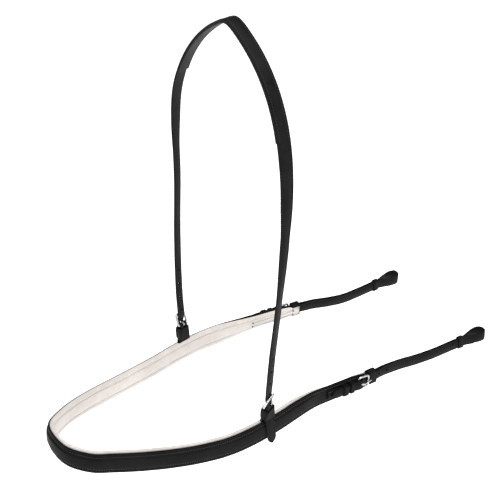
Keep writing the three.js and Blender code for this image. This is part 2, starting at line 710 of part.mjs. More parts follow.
const sides = { left: 1, right: -1 };
for (const [name, side] of Object.entries(sides)) {
  addPiece(`${name}_hanger_chape`, hangerChape(side), leather);
  addPiece(`${name}_hanger_keeper`, hangerKeeper(side), leather);
  const hangerPlacement = hangerMatrix(side);
  addPiece(`${name}_hanger_buckle_frame`, buckleFrame(HANGER_RISE), steel).applyMatrix4(hangerPlacement);
  addPiece(`${name}_hanger_buckle_tongue`, buckleTongue(HANGER_RISE), steel).applyMatrix4(hangerPlacement);

  addPiece(`${name}_girth_strap`, girthStrap(side), leather);
  addPiece(`${name}_girth_buckle_chape`, girthChape(side), leather);
  const girthPlacement = armMatrix(side, GIRTH_BAR, GIRTH_BAR_HEIGHT);
  addPiece(`${name}_girth_buckle_frame`, buckleFrame(GIRTH_RISE), steel).applyMatrix4(girthPlacement);
  addPiece(`${name}_girth_buckle_tongue`, buckleTongue(GIRTH_RISE), steel).applyMatrix4(girthPlacement);

  for (const [kind, hole] of Object.entries(keeperHoles(side))) {
    addPiece(`${name}_${kind}`, keeper(side, hole), leather);
  }
}

export default collar;
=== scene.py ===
"""A padded leather breast collar for a riding horse: chest strap, neck strap and girth straps.
Lengths are in millimetres in the part's frame: +X to the horse's left, +Y to its rear and +Z up.
Meshes, bump distances, lights and the camera are in metres."""

import json
import math

import bmesh
import bpy
import numpy as np
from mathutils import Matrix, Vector


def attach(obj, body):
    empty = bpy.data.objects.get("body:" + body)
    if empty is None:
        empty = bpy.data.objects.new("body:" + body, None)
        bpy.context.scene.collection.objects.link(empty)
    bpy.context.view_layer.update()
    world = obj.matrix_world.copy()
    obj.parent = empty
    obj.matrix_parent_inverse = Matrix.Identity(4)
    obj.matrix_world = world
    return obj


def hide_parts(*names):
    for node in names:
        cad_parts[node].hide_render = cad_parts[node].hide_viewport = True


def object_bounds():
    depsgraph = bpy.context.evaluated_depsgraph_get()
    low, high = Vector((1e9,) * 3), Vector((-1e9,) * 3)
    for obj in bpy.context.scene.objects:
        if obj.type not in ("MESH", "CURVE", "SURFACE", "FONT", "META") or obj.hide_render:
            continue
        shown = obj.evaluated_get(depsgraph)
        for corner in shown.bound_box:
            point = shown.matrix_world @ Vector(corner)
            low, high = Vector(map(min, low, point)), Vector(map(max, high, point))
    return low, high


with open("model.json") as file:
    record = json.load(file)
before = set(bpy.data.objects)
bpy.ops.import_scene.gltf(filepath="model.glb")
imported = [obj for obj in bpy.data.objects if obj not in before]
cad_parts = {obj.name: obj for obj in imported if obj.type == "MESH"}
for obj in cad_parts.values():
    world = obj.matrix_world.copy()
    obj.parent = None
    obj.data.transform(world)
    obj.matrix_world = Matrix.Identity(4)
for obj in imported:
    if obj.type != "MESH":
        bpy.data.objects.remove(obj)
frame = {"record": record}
cad_box = [list(corner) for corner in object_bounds()]
rng = np.random.default_rng(7)
MM = 0.001

# ---- dimensions shared with the CAD part ----
GAP = 0.3
FLARE = math.tan(math.radians(-3))
BREAST_WIDTH = 32.5
FLANGE = 2.6
RAISED = 4.8
FILLER_DEPTH = 2.0
LINING_OVERHANG = 2
PAD_END_Y = 184
LINING_STOP = 3
NECK_THICKNESS = 2.8
CROWN_LINING = 1.8
NECK_WIDTH = 20
BILLET_WIDTH = 14
BILLET_THICKNESS = 2.6
HOLE_RADIUS = 2
HOLE_PITCH = 22
TONGUE_HOLE = 50
HANGER_Y = {1: -14.5, -1: -23}
HANGER_TWIST = math.radians(22)
HANGER_SLANT = {1: math.radians(5), -1: 0}
HANGER_LEAN = {1: math.radians(15), -1: math.radians(9)}
HANGER_BAR = 46
HANGER_RISE = 4
CHAPE_THICKNESS = 1.5
CHAPE_WIDTH = 14.8
WIRE = 1.6
BUCKLE_LENGTH = 18
BUCKLE_HALF = 9.3
GIRTH_WIDTH = 14
GIRTH_REAR_WIDTH = 16.4
GIRTH_THICKNESS = 2.4
GIRTH_CHAPE = 1.6
GIRTH_BAR = -36
GIRTH_BAR_HEIGHT = 6.4
GIRTH_RISE = 0.8
LOOP_START = {1: 178, -1: 161}
KEEPER_WALL = 1.3
KEEPER_PLAY = 0.4
BILLET_TIP = -25
GIRTH_SEWN_END = -45
GIRTH_TIP = -88
END_KEEPER = (-15.5, -1)
HANGER_KEEPER = (20, 41)
HANGER_KEEPER_TOP = 7.3
HANGER_KEEPER_WALL = 1.0

# ---- details that only this script has ----
STITCH_PITCH = 3.4
STITCH_SINK = 0.22
STITCH_PROUD = 0.08
CREASE_INSET = 2.0
CREASE_HALF = 0.5
FACE_SWELL = 0.12
SHARP_ANGLE = 40

SIDES = {"left": 1, "right": -1}
body_of_node = {
    node: body for body, nodes in frame["record"]["behaviour"]["bodies"].items() for node in nodes
}
UP = np.array([0.0, 0.0, 1.0])


# ---- small vector tools ----
def unit(v):
    return v / np.linalg.norm(v)


def smooth(t):
    return 0.5 - 0.5 * math.cos(math.pi * min(max(t, 0), 1))


def read_between(pairs, place):
    return float(np.interp(place, [p[0] for p in pairs], [p[1] for p in pairs]))


class Spline:
    """A centripetal Catmull-Rom curve through points, read by its arc length."""

    def __init__(self, points, per_span=60):
        points = [np.array(p, float) for p in points]
        ends = [2 * points[0] - points[1], *points, 2 * points[-1] - points[-2]]
        samples = []
        for i in range(len(points) - 1):
            p0, p1, p2, p3 = ends[i : i + 4]
            d0, d1, d2 = (math.sqrt(np.linalg.norm(b - a)) for a, b in ((p0, p1), (p1, p2), (p2, p3)))
            t1 = ((p1 - p0) / d0 - (p2 - p0) / (d0 + d1) + (p2 - p1) / d1) * d1
            t2 = ((p2 - p1) / d1 - (p3 - p1) / (d1 + d2) + (p3 - p2) / d2) * d1
            for k in range(per_span):
                t = k / per_span
                square = (-3 * p1 + 3 * p2 - 2 * t1 - t2) * t * t
                cube = (2 * p1 - 2 * p2 + t1 + t2) * t * t * t
                samples.append(p1 + t1 * t + square + cube)
        samples.append(points[-1])
        self.samples = np.array(samples)
        steps = np.linalg.norm(np.diff(self.samples, axis=0), axis=1)
        self.places = np.concatenate([[0], np.cumsum(steps)])
        self.length = float(self.places[-1])

    def at(self, s):
        return np.array([np.interp(s, self.places, self.samples[:, k]) for k in range(3)])


# ---- the line of the chest strap ----
chest_points = [
    [28, -284.5, -551.3], [51, -260, -558.3], [63, -236, -560.8], [77, -199, -566.3], [89, -158, -572.3],
    [99, -117, -576.3], [106.5, -76, -577.3], [110.5, -35, -572.8], [109.5, 6, -567.3], [105.5, 40, -564.3],
]


def straight_run(start, direction, reach):
    along = unit(np.array(direction, float))
    return [np.array(start, float) + along * distance for distance in reach]


left_half = [
    *chest_points,
    *straight_run([101.8, 70, -563.8], [-4.5, 135, -8.5], [0, 34, 68, 102, 136]),
    [94.5, 236, -577.8],
    [94, 268, -583.3],
    *straight_run([95.5, 300, -584.8], [3, 100, 1.5], [0, 30, 60, 130]),
]
right_half = [[-p[0], p[1], p[2]] for p in reversed(left_half)]
chest_line = Spline([*right_half, [0, -291, -547.3], *left_half])
half_length = chest_line.length / 2


def line_point(s):
    return chest_line.at(half_length + s)


def line_frame(s):
    """Point, direction along, direction up across the width, and direction out of the face."""
    along = unit(line_point(s + 2) - line_point(s - 2))
    up = UP + FLARE * unit(np.cross(along, UP))
    up = unit(up - along * along.dot(up))
    return line_point(s), along, up, np.cross(along, up)


def length_at_y(y):
    """The place on the left half of the chest strap's line where it first passes y."""
    places = np.linspace(0, half_length - 3, 4000)
    passed = np.array([line_point(s)[1] > y for s in places])
    return float(places[np.argmax(passed)])


pad_end = length_at_y(PAD_END_Y)
hanger_place = {side: length_at_y(y) for side, y in HANGER_Y.items()}


def arm_frame(side, x, n=0.0):
    """As line_frame, x mm behind the leather's end and n mm out, with the direction to the rear."""
    point, along, up, out = line_frame(side * (pad_end + x))
    return point + out * n, along * side, up, out


def hanger_frame(side, h, n=0.0):
    """Point, direction up the hanger, across it and out of its face, h mm above the strap's middle."""
    foot, along, _, _ = line_frame(side * hanger_place[side])
    level = unit(along * [1, 1, 0])
    up0 = unit(UP + FLARE * np.cross(level, UP))
    out0 = np.cross(level, up0)
    cos, sin = math.cos(HANGER_SLANT[side]), math.sin(HANGER_SLANT[side])
    up0, level = up0 * cos + np.cross(out0, up0) * sin, level * cos + np.cross(out0, level) * sin
    clear = BREAST_WIDTH / 2 + LINING_OVERHANG

    def share(place):
        return smooth((place - clear) / (HANGER_BAR - 6 - clear))

    def up_at(place):
        lean = HANGER_LEAN[side] * share(place)
        return up0 * math.cos(lean) + out0 * math.sin(lean)

    point = foot + up0 * min(h, 0)
    k = 0
    while k < h:
        point = point + up_at(k + 0.5) * min(1, h - k)
        k += 1
    up = up_at(h)
    leaning = np.cross(level, up)
    turn = HANGER_TWIST * share(h)
    across = level * math.cos(turn) - leaning * math.sin(turn)
    out = leaning * math.cos(turn) + level * math.sin(turn)
    return point + out * n, up, across, out


def buckle_axes(piece_frame):
    """Origin and axes of a buckle: towards its far bar, along its bars, and outwards."""
    point, ahead, _, out = piece_frame
    return point, ahead, np.cross(out, ahead), out


def hanger_buckle(side):
    return buckle_axes(hanger_frame(side, HANGER_BAR))


def girth_buckle(side):
    return buckle_axes(arm_frame(side, GIRTH_BAR, GIRTH_BAR_HEIGHT))


# ---- meshes ----
def add_object(name, data):
    thing = bpy.data.objects.new(name, data)
    bpy.context.scene.collection.objects.link(thing)
    return thing


def soften(mesh):
    """Smooth shading that leaves the sharp edges sharp."""
    mesh.shade_smooth()
    mesh.set_sharp_from_angle(angle=math.radians(SHARP_ANGLE))


def make_mesh(name, vertices, faces, slots, uvs=None):
    mesh = bpy.data.meshes.new(name)
    mesh.from_pydata([tuple(np.asarray(v) * MM) for v in vertices], [], faces)
    mesh.polygons.foreach_set("material_index", slots)
    if uvs is not None:
        layer = mesh.uv_layers.new(name="along_and_across")
        for loop in mesh.loops:
            layer.data[loop.index].uv = uvs[loop.vertex_index]
    work = bmesh.new()
    work.from_mesh(mesh)
    bmesh.ops.recalc_face_normals(work, faces=work.faces)
    work.to_mesh(mesh)
    work.free()
    soften(mesh)
    return add_object(name, mesh)


def shrink(profile, amount):
    low, high = profile.min(0), profile.max(0)
    centre, half = (low + high) / 2, (high - low) / 2
    return centre + (profile - centre) * (1 - np.minimum(amount / np.maximum(half, amount), 0.9))


def ring_faces(size, rings, base=0, closed=True):
    """Faces that join each ring of size vertices with the next, and if closed the last with the first."""
    faces = []
    for i in range(rings if closed else rings - 1):
        a, b = base + i * size, base + (i + 1) % rings * size
        faces += [(a + k, a + (k + 1) % size, b + (k + 1) % size, b + k) for k in range(size)]
    return faces


def sweep(name, stations, profile_at, edge_flags, bevel=0.35):
    """Carries a profile along stations of (point, across, normal). Flagged sides take material 1."""
    rings, marks, place = [], [], 0.0
    for i, (point, across, normal) in enumerate(stations):
        if i:
            place += float(np.linalg.norm(point - stations[i - 1][0]))
        profile = np.asarray(profile_at(i), float)
        if i in (0, len(stations) - 1):
            other = stations[1][0] if i == 0 else stations[-2][0]
            inwards = unit(other - point) * bevel
            ends = [(point, shrink(profile, bevel)), (point + inwards, profile)]
            if i:
                ends.reverse()
        else:
            ends = [(point, profile)]
        for centre, outline in ends:
            rings.append([centre + across * x + normal * y for x, y in outline])
            marks.append([(place * MM, x * MM) for x, _ in outline])
    size = len(rings[0])
    vertices = [v for ring in rings for v in ring]
    uvs = [m for ring in marks for m in ring]
    faces = ring_faces(size, len(rings), closed=False)
    faces += [tuple(range(size)), tuple(range(len(vertices) - size, len(vertices)))]
    slots = [int(flag) for flag in edge_flags] * (len(rings) - 1) + [1, 1]
    return make_mesh(name, vertices, faces, slots, uvs)


def arc(x, y, radius, start, turn, steps):
    """Points on an arc about (x, y), both ends included. The angles are in degrees."""
    angles = [math.radians(start + turn * k / steps) for k in range(steps + 1)]
    return [(x + radius * math.cos(a), y + radius * math.sin(a)) for a in angles]


def strap_profile(width, low, high, face=1, radius=0.7, crease=0.28):
    """A strap's section with eased corners and a creased line beside each edge of its grain face."""
    half = width / 2
    radius = min(radius, half * 0.45, (high - low) * 0.45)
    turns = [(1, -1, -90), (1, 1, 0), (-1, 1, 90), (-1, -1, 180)]
    points, flags = [], []
    for sx, sy, start in turns:
        points += arc(sx * (half - radius), high - radius if sy > 0 else low + radius, radius, start, 90, 3)
        flags += [True, True, True, sx != sy]
        if (sx, sy) == (1, 1):
            line = half - min(CREASE_INSET, half * 0.4)
            groove = [(line + CREASE_HALF, high), (line, high - crease), (line - CREASE_HALF, high)]
            points += [*groove, (0, high + FACE_SWELL), *((-x, y) for x, y in reversed(groove))]
            flags += [False] * (2 * len(groove) + 1)
    result = np.array(points)
    if face < 0:
        result[:, 1] = low + high - result[:, 1]
    return result, flags


STRAP_FLAGS = strap_profile(10, 0, 3)[1]  # the same for a strap of any size


def path_stations(points, across, rounds):
    """Stations along a path, its kinks eased, with normals square to it."""
    points = np.array(points, float)
    across = np.array(across, float)
    for _ in range(rounds):
        points[1:-1] = (points[:-2] + 2 * points[1:-1] + points[2:]) / 4
        across[1:-1] = (across[:-2] + 2 * across[1:-1] + across[2:]) / 4
    stations = []
    for i in range(len(points)):
        along = unit(points[min(i + 1, len(points) - 1)] - points[max(i - 1, 0)])
        side = unit(across[i] - along * along.dot(across[i]))
        stations.append((points[i], side, np.cross(along, side)))
    return stations


def framed_stations(frames, rounds):
    """As path_stations, for frames whose third member points across the strap."""
    return path_stations([f[0] for f in frames], [f[2] for f in frames], rounds)


def refine(points, longest):
    fine = [np.array(points[0], float)]
    for a, b in zip(points[:-1], points[1:]):
        a, b = np.array(a, float), np.array(b, float)
        count = max(1, math.ceil(np.linalg.norm(b - a) / longest))
        fine += [a + (b - a) * k / count for k in range(1, count + 1)]
    return fine


def stadium(length, width, steps=6):
    """Outline of a slot: two half circles joined, centred on the origin."""
    right = arc((length - width) / 2, 0, width / 2, -90, 180, steps)
    return right + [(-x, -y) for x, y in right]


def cut(piece, cutters):
    """Cuts prisms out of a piece. A cutter is (axes, outline, shift along x, depth range)."""
    vertices, faces = [], []
    for (origin, x_axis, y_axis, z_axis), outline, shift, (low, high) in cutters:
        base, size = len(vertices), len(outline)
        for z in (low, high):
            vertices += [origin + x_axis * (x + shift) + y_axis * y + z_axis * z for x, y in outline]
        faces += ring_faces(size, 2, base, closed=False)
        faces.append(tuple(base + k for k in reversed(range(size))))
        faces.append(tuple(base + size + k for k in range(size)))
    tool = make_mesh(piece.name + "_cutters", vertices, faces, [1] * len(faces))
    modifier = piece.modifiers.new("cut", "BOOLEAN")
    modifier.object = tool
    modifier.operation = "DIFFERENCE"
    modifier.solver = "EXACT"
    graph = bpy.context.evaluated_depsgraph_get()
    result = bpy.data.meshes.new_from_object(piece.evaluated_get(graph))
    piece.modifiers.clear()
    piece.data = result
    bpy.data.objects.remove(tool)
    soften(result)


# Cutters without their axes: (outline, shift along x, depth range).
TONGUE_SLOT = (stadium(8, 3.8), 3.2, (1.5, 8.5))
CHAPE_SLOT = (stadium(11.5, 4.6), 0.2, (-4.5, 4.5))
HOLE = arc(0, 0, HOLE_RADIUS, 0, 360, 16)[:-1]


# ---- materials ----
class Nodes:
    """A material's node tree with short helpers."""

    def __init__(self, name):
        self.material = bpy.data.materials.new(name)
        self.material.use_nodes = True
        self.tree = self.material.node_tree
        self.shader = self.tree.nodes["Principled BSDF"]
        self.place = self.add("ShaderNodeTexCoord").outputs["Object"]

    def add(self, kind, **settings):
        node = self.tree.nodes.new(kind)
        for key, value in settings.items():
            setattr(node, key, value)
        return node

    def link(self, source, target):
        self.tree.links.new(source, target)

    def noise(self, scale, detail=4, roughness=0.55, source=None):
        node = self.add("ShaderNodeTexNoise")
        node.inputs["Scale"].default_value = scale
        node.inputs["Detail"].default_value = detail
        node.inputs["Roughness"].default_value = roughness
        self.link(source or self.place, node.inputs["Vector"])
        return node.outputs["Fac"]

    def cells(self, scale, feature="F1"):
        node = self.add("ShaderNodeTexVoronoi", feature=feature)
        node.inputs["Scale"].default_value = scale
        self.link(self.place, node.inputs["Vector"])
        return node.outputs["Distance"]

    def ramp(self, source, stops):
        node = self.add("ShaderNodeValToRGB")
        elements = node.color_ramp.elements
        for k, (position, colour) in enumerate(stops):
            element = elements[k] if k < 2 else elements.new(position)
            element.position = position
            element.color = (*colour, 1)
        self.link(source, node.inputs["Fac"])
        return node.outputs["Color"]

    def spread(self, source, low, high):
        node = self.add("ShaderNodeMapRange")
        node.inputs["From Min"].default_value = 0.3
        node.inputs["From Max"].default_value = 0.7
        node.inputs["To Min"].default_value = low
        node.inputs["To Max"].default_value = high
        self.link(source, node.inputs["Value"])
        return node.outputs["Result"]

    def sum(self, a, b, share):
        node = self.add("ShaderNodeMath", operation="MULTIPLY_ADD")
        self.link(b, node.inputs[0])
        node.inputs[1].default_value = share
        self.link(a, node.inputs[2])
        return node.outputs[0]

    def bump(self, height, distance, strength=1.0, under=None):
        node = self.add("ShaderNodeBump")
        node.inputs["Distance"].default_value = distance
        node.inputs["Strength"].default_value = strength
        self.link(height, node.inputs["Height"])
        if under is not None:
            self.link(under, node.inputs["Normal"])
        return node.outputs["Normal"]

    def set(self, **values):
        for key, value in values.items():
            self.shader.inputs[key.replace("_", " ")].default_value = value

    def colour(self, source):
        self.link(source, self.shader.inputs["Base Color"])

    def rough(self, source):
        self.link(source, self.shader.inputs["Roughness"])

    def normal(self, source):
        self.link(source, self.shader.inputs["Normal"])


def leather_face(name, dark, light, grain=1.0):
    """Smooth-grained black bridle leather: fine pores, faint wrinkles and waxy patches."""
    m = Nodes(name)
    pores = m.cells(1100)
    wrinkles = m.noise(420, 7, 0.62)
    patches = m.noise(28, 5)
    m.colour(m.ramp(m.sum(patches, wrinkles, 0.35), [(0.42, dark), (0.86, light)]))
    m.rough(m.spread(m.sum(patches, wrinkles, 0.2), 0.38, 0.6))
    rough = m.bump(m.sum(wrinkles, pores, 0.6), 0.00022 * grain, 0.55)
    m.normal(m.bump(m.noise(90, 3), 0.0006, 0.35, rough))
    m.set(Specular_IOR_Level=0.07)
    return m.material


def leather_edge(name, dark=(0.001, 0.001, 0.0012), light=(0.0055, 0.0053, 0.0055)):
    """The cut edge: dyed, waxed and burnished, with faint streaks of the layers."""
    m = Nodes(name)
    streaks = m.noise(300, 6, 0.7)
    m.colour(m.ramp(streaks, [(0.3, dark), (0.8, light)]))
    m.rough(m.spread(streaks, 0.34, 0.55))
    m.normal(m.bump(streaks, 0.0003, 0.5))
    m.set(Specular_IOR_Level=0.0)
    return m.material


def lining_leather(name, dark, light):
    """Soft ivory leather drawn over padding: fine grain, drawn wrinkles and a little soiling."""
    m = Nodes(name)
    pores = m.cells(900)
    wrinkles = m.noise(160, 8, 0.6)
    patches = m.noise(14, 4)
    m.colour(m.ramp(m.sum(patches, wrinkles, 0.5), [(0.5, dark), (1.0, light)]))
    m.rough(m.spread(wrinkles, 0.55, 0.74))
    fine = m.bump(m.sum(wrinkles, pores, 0.5), 0.0004, 0.5)
    m.normal(m.bump(m.noise(60, 4), 0.0012, 0.4, fine))
    m.set(Specular_IOR_Level=0.3, Sheen_Weight=0.12, Sheen_Roughness=0.5)
    return m.material


def thread(name, dark, light):
    m = Nodes(name)
    twist = m.noise(2600, 3, 0.6)
    m.colour(m.ramp(twist, [(0.35, dark), (0.75, light)]))
    m.rough(m.spread(twist, 0.55, 0.8))
    m.normal(m.bump(twist, 0.0002, 0.6))
    return m.material


def felt(name):
    m = Nodes(name)
    fibres = m.noise(1500, 8, 0.75)
    m.colour(m.ramp(fibres, [(0.3, (0.16, 0.15, 0.14)), (0.8, (0.36, 0.34, 0.31))]))
    m.rough(m.spread(fibres, 0.85, 1.0))
    m.normal(m.bump(fibres, 0.0006, 0.8))
    m.set(Sheen_Weight=0.4)
    return m.material


def polished_steel(name):
    """Polished stainless wire with hairline rubbing marks and a few dull patches."""
    m = Nodes(name)
    rubbing = m.noise(1800, 5, 0.7)
    dull = m.noise(120, 4)
    m.colour(m.ramp(dull, [(0.3, (0.4, 0.4, 0.41)), (0.75, (0.62, 0.62, 0.63))]))
    m.rough(m.spread(m.sum(dull, rubbing, 0.4), 0.1, 0.26))
    m.normal(m.bump(rubbing, 0.00006, 0.4))
    m.set(Metallic=1.0)
    return m.material


DARK, LIGHT = (0.0012, 0.0012, 0.0014), (0.0105, 0.0101, 0.0107)
bridle = leather_face("black_bridle_leather", DARK, LIGHT)
soft_bridle = leather_face("black_strap_leather_back", (0.006, 0.0058, 0.0058), (0.024, 0.0225, 0.0228), 1.6)
edge = leather_edge("burnished_black_edge")
ivory = lining_leather("ivory_lining_leather", (0.5, 0.458, 0.432), (0.66, 0.618, 0.59))
# A darker copy of the ivory lining for the faces of the seam groove: its darkness is painted shade in the
# groove.
ivory_groove_painted_shade = lining_leather("ivory_lining_seam_groove_painted_shade", (0.3, 0.265, 0.245), (0.42, 0.38, 0.355))
steel = polished_steel("polished_stainless_steel")
black_thread = thread("waxed_black_thread", (0.022, 0.022, 0.024), (0.085, 0.085, 0.088))
ivory_thread = thread("waxed_ivory_thread", (0.24, 0.22, 0.205), (0.46, 0.425, 0.4))
dark_thread = thread("waxed_dark_thread", (0.006, 0.006, 0.007), (0.026, 0.026, 0.028))
grey_thread = thread("waxed_grey_thread", (0.11, 0.1, 0.095), (0.28, 0.26, 0.245))
# The crown lining's cut edge: partly the pale colour of a raw edge, partly a painted highlight along the
# edge.
raw_edge_and_painted_highlight = leather_edge("pale_raw_lining_edge_and_painted_highlight", (0.14, 0.13, 0.125), (0.36, 0.34, 0.325))
wool_felt = felt("grey_wool_felt")


def settle(piece, node, materials):
    """Gives a piece its materials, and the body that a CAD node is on."""
    piece.data.materials.clear()
    for material in materials:
        piece.data.materials.append(material)
    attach(piece, body_of_node[node])


def stand_for(piece, node, materials):
    """As settle, for a piece that also replaces the CAD node."""
    settle(piece, node, materials)
    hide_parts(node)


# ---- stitches ----
def stitch_row(name, spots, node, material, length=2.6, radius=0.38, slant=14):
    """Raised stitches lying at each spot of (centre, along, normal), half sunk in the leather."""
    rings = [(-1, 0), (-0.72, 0.75), (0, 1), (0.72, 0.75), (1, 0)]
    sides = 6
    vertices, faces = [], []
    for centre, along, normal in spots:
        across = np.cross(normal, along)
        turn = math.radians(slant + float(rng.normal(0, 2)))
        ahead = along * math.cos(turn) + across * math.sin(turn)
        beside = np.cross(normal, ahead)
        reach = length / 2 * (1 + float(rng.normal(0, 0.03)))
        base = len(vertices)
        for t, r in rings:
            dip = -STITCH_SINK * t * t
            middle = centre + ahead * (t * reach) + normal * dip
            if r == 0:
                vertices.append(middle)
                continue
            for k in range(sides):
                angle = 2 * math.pi * k / sides
                vertices.append(middle + (beside * math.cos(angle) + normal * math.sin(angle)) * radius * r)
        for k in range(sides):
            nxt = (k + 1) % sides
            faces.append((base, base + 1 + k, base + 1 + nxt))
            for ring in (0, 1):
                a, b = base + 1 + ring * sides, base + 1 + (ring + 1) * sides
                faces.append((a + k, b + k, b + nxt, a + nxt))
            last = base + 1 + 2 * sides
            faces.append((last + k, base + 1 + 3 * sides, last + nxt))
    piece = make_mesh(name, vertices, faces, [0] * len(faces))
    settle(piece, node, [material])


# ---- chest strap ----
width_pairs = [[0, 18], [16, 18], [45, 27], [110, 29.5], [150, BREAST_WIDTH]]
raised_pairs = [[106, 0.08], [134, 1]]


def breast_width(s):
    return read_between(width_pairs, pad_end - abs(s))


def raised_share(s):
    return read_between(raised_pairs, pad_end - abs(s))


def line_stations(reach, step):
    count = 2 * math.ceil(reach / step)
    places = np.linspace(-reach, reach, count + 1)
    return places, [(f[0], f[2], f[3]) for f in (line_frame(s) for s in places)]


def breast_profile(s):
    """The chest strap's section: creased flanges beside a crowned raised middle."""
    k = breast_width(s) / BREAST_WIDTH
    share = raised_share(s)
    half = BREAST_WIDTH / 2
    lift = (RAISED - FLANGE) * share
    face = [
        (half - 0.15, FLANGE - 0.75), (half - 0.75, FLANGE - 0.12), (half - 1.5, FLANGE),
        (half - 2, FLANGE - 0.3), (half - 2.5, FLANGE), (11.2, FLANGE - 0.02), (10.7, FLANGE - 0.4),
        (10.2, FLANGE - 0.42), (9.7, FLANGE - 0.1), (9.3, FLANGE + 0.25 * lift),
        (8.8, FLANGE + 0.62 * lift), (8.0, FLANGE + 0.93 * lift), (6.4, FLANGE + 1.0 * lift),
        (3.4, FLANGE + 1.06 * lift + 0.03), (0, FLANGE + 1.08 * lift + 0.05),
    ]
    back = [
        (0, FILLER_DEPTH * share), (7.3, FILLER_DEPTH * share), (8.6, 0.1 * share), (11, 0),
        (half - 0.75, 0.02), (half - 0.12, 0.6), (half, 1.4),
    ]
    right = back + face
    left = [(-x, y) for x, y in reversed(right) if x > 0]
    return [(x * k, y) for x, y in right + left]


outline_count = len(breast_profile(0))
breast_flags = [4 <= k <= 7 or 4 < outline_count - k <= 8 for k in range(outline_count)]
breast_places, breast_line = line_stations(pad_end, 3.0)
breast = sweep(
    "breast_strap_leather", breast_line, lambda i: breast_profile(breast_places[i]), breast_flags
)
stand_for(breast, "breast_strap", [bridle, edge])

filler_reach = pad_end - 150
filler_line = line_stations(filler_reach, 5.0)[1]
filler_half = 7
filler_outline = [
    (x, FILLER_DEPTH / 2 + (FILLER_DEPTH / 2 - GAP) * sign * (1 - (abs(x) / filler_half) ** 4 * 0.7))
    for sign, xs in ((-1, (-7, -5, -2.5, 0, 2.5, 5, 7)), (1, (7, 5, 2.5, 0, -2.5, -5, -7)))
    for x in xs
]
filler = sweep(
    "breast_strap_felt_filler", filler_line, lambda i: filler_outline, [False] * len(filler_outline)
)
stand_for(filler, "breast_strap_filler", [wool_felt, wool_felt])


# ---- padded lining ----
SEAM_SHARE = 0.56
THINNING_SHARE = 0.45
PAD_TOP = -1
PAD_DEPTH = 6.1
SEAM_DEPTH = 4.15
SWELLING_BELOW = -4
DEEP_POCKET = -4.9
GIRTH_POCKET = -3.3
lining_back = [
    (1.0, -1.7), (1.0, -2.9), (0.985, -4.0), (0.95, -4.75), (0.88, -5.3), (0.8, -5.7), (0.7, -5.9),
    (0.62, -5.85), (0.59, -5.5), (0.56, -4.9), (0.53, -5.5), (0.49, -6.1), (0.42, -6.6), (0.3, -6.9),
    (0.15, -7.05), (0.0, -7.1),
]
lining_front = [(0.0, -GAP), (0.25, -GAP), (0.45, -GAP), (0.6, -GAP), (0.75, -GAP), (0.9, -GAP), (0.97, -0.8)]
wave_phases = rng.uniform(0, 2 * math.pi, 8)


def lining_unevenness(s, x):
    """Small soft swells of the padding, up to about 0.3 mm."""
    short = 0.16 * math.sin(s / 6.5 + 2 * x + wave_phases[0])
    return short + 0.14 * math.sin(s / 15.7 - 3 * x + wave_phases[1])


def lining_pocket(s, x):
    """The greatest height of the lining's front: lower where sewn-in straps end behind the leather."""
    height = -GAP
    behind = abs(s) - pad_end
    for side in (1, -1):
        if abs(s - side * hanger_place[side]) < CHAPE_WIDTH / 2 + 1.2 and x > -6:
            height = min(height, DEEP_POCKET)
    if behind > GIRTH_SEWN_END - 3 and abs(x) < GIRTH_WIDTH / 2 + 1:
        height = min(height, GIRTH_POCKET)
    if behind > END_KEEPER[0] - 2.5 and abs(x) < 11.5:
        height = min(height, DEEP_POCKET)
    return height


overhang_pairs = [[14, -1], [50, -2.2], [90, -2.2], [150, LINING_OVERHANG]]
padding_pairs = [[90, 0.86], [150, 1]]
edge_padding = [[26, 1], [50, 0.4], [100, 0.4], [150, 1]]


def lining_half(s):
    return breast_width(s) / 2 + read_between(overhang_pairs, pad_end - abs(s))


def thickness_share(before, x_share):
    """Share of the pad's thickness, before mm from the leather's end and at a share of the half width."""
    outwards = max(0, (x_share - THINNING_SHARE) / (1 - THINNING_SHARE))
    return read_between(padding_pairs, before) * (1 - (1 - read_between(edge_padding, before)) * outwards)


def end_share(before):
    """Share of the pad's thickness that is left where it is drawn in towards its ends."""
    return min(1, max(0.75, (before - LINING_STOP) / 10 + 0.55))


def lining_profile(s):
    half, before = lining_half(s), pad_end - abs(s)
    right = [(share * half, y) for share, y in lining_front + lining_back]
    left = [(-x, y) for x, y in reversed(right) if x > 0]
    result = []
    for x, y in right + left:
        if y <= PAD_TOP:
            swell = lining_unevenness(s, x / half) if y < SWELLING_BELOW else 0
            thinned = end_share(before) * thickness_share(before, abs(x) / half)
            y = PAD_TOP + (y - PAD_TOP + swell) * thinned
        result.append((x, min(y, lining_pocket(s, x))))
    return result


lining_reach = pad_end - LINING_STOP
lining_places, lining_line = line_stations(lining_reach, 2.2)
lining_outline = lining_profile(0)
# Faces beside the seam groove are flagged to take the darker ivory, which is painted shade in the groove.
lining_flags = []
for (x, y), (next_x, _) in zip(lining_outline, lining_outline[1:] + lining_outline[:1]):
    beside_seam = abs((abs(x) + abs(next_x)) / 2 / lining_half(0) - SEAM_SHARE) < 0.03
    lining_flags.append(beside_seam and y < SWELLING_BELOW)
lining = sweep(
    "breast_lining_pad", lining_line, lambda i: lining_profile(lining_places[i]), lining_flags, bevel=0.9
)
stand_for(lining, "breast_lining", [ivory, ivory_groove_painted_shade])


def rows_on_line(reach, offset, height, facing=1):
    """Stitch spots along the chest strap, at an offset to each side of its middle."""
    spots = []
    count = int(2 * reach / STITCH_PITCH)
    for i in range(count + 1):
        s = -reach + i * 2 * reach / count
        point, along, up, out = line_frame(s)
        for x in (offset(s), -offset(s)):
            spots.append((point + up * x + out * height(s), along, out * facing))
    return spots


def seam_height(s):
    """Height of the lining's seam groove, which rises where the pad thins towards its edges."""
    return PAD_TOP - SEAM_DEPTH * thickness_share(pad_end - abs(s), SEAM_SHARE)


def lining_back_height(x):
    """Height of the lining's back over the sewn-in strap, x mm behind the leather's end."""
    return PAD_TOP - PAD_DEPTH * thickness_share(-x, 0) * end_share(-x)


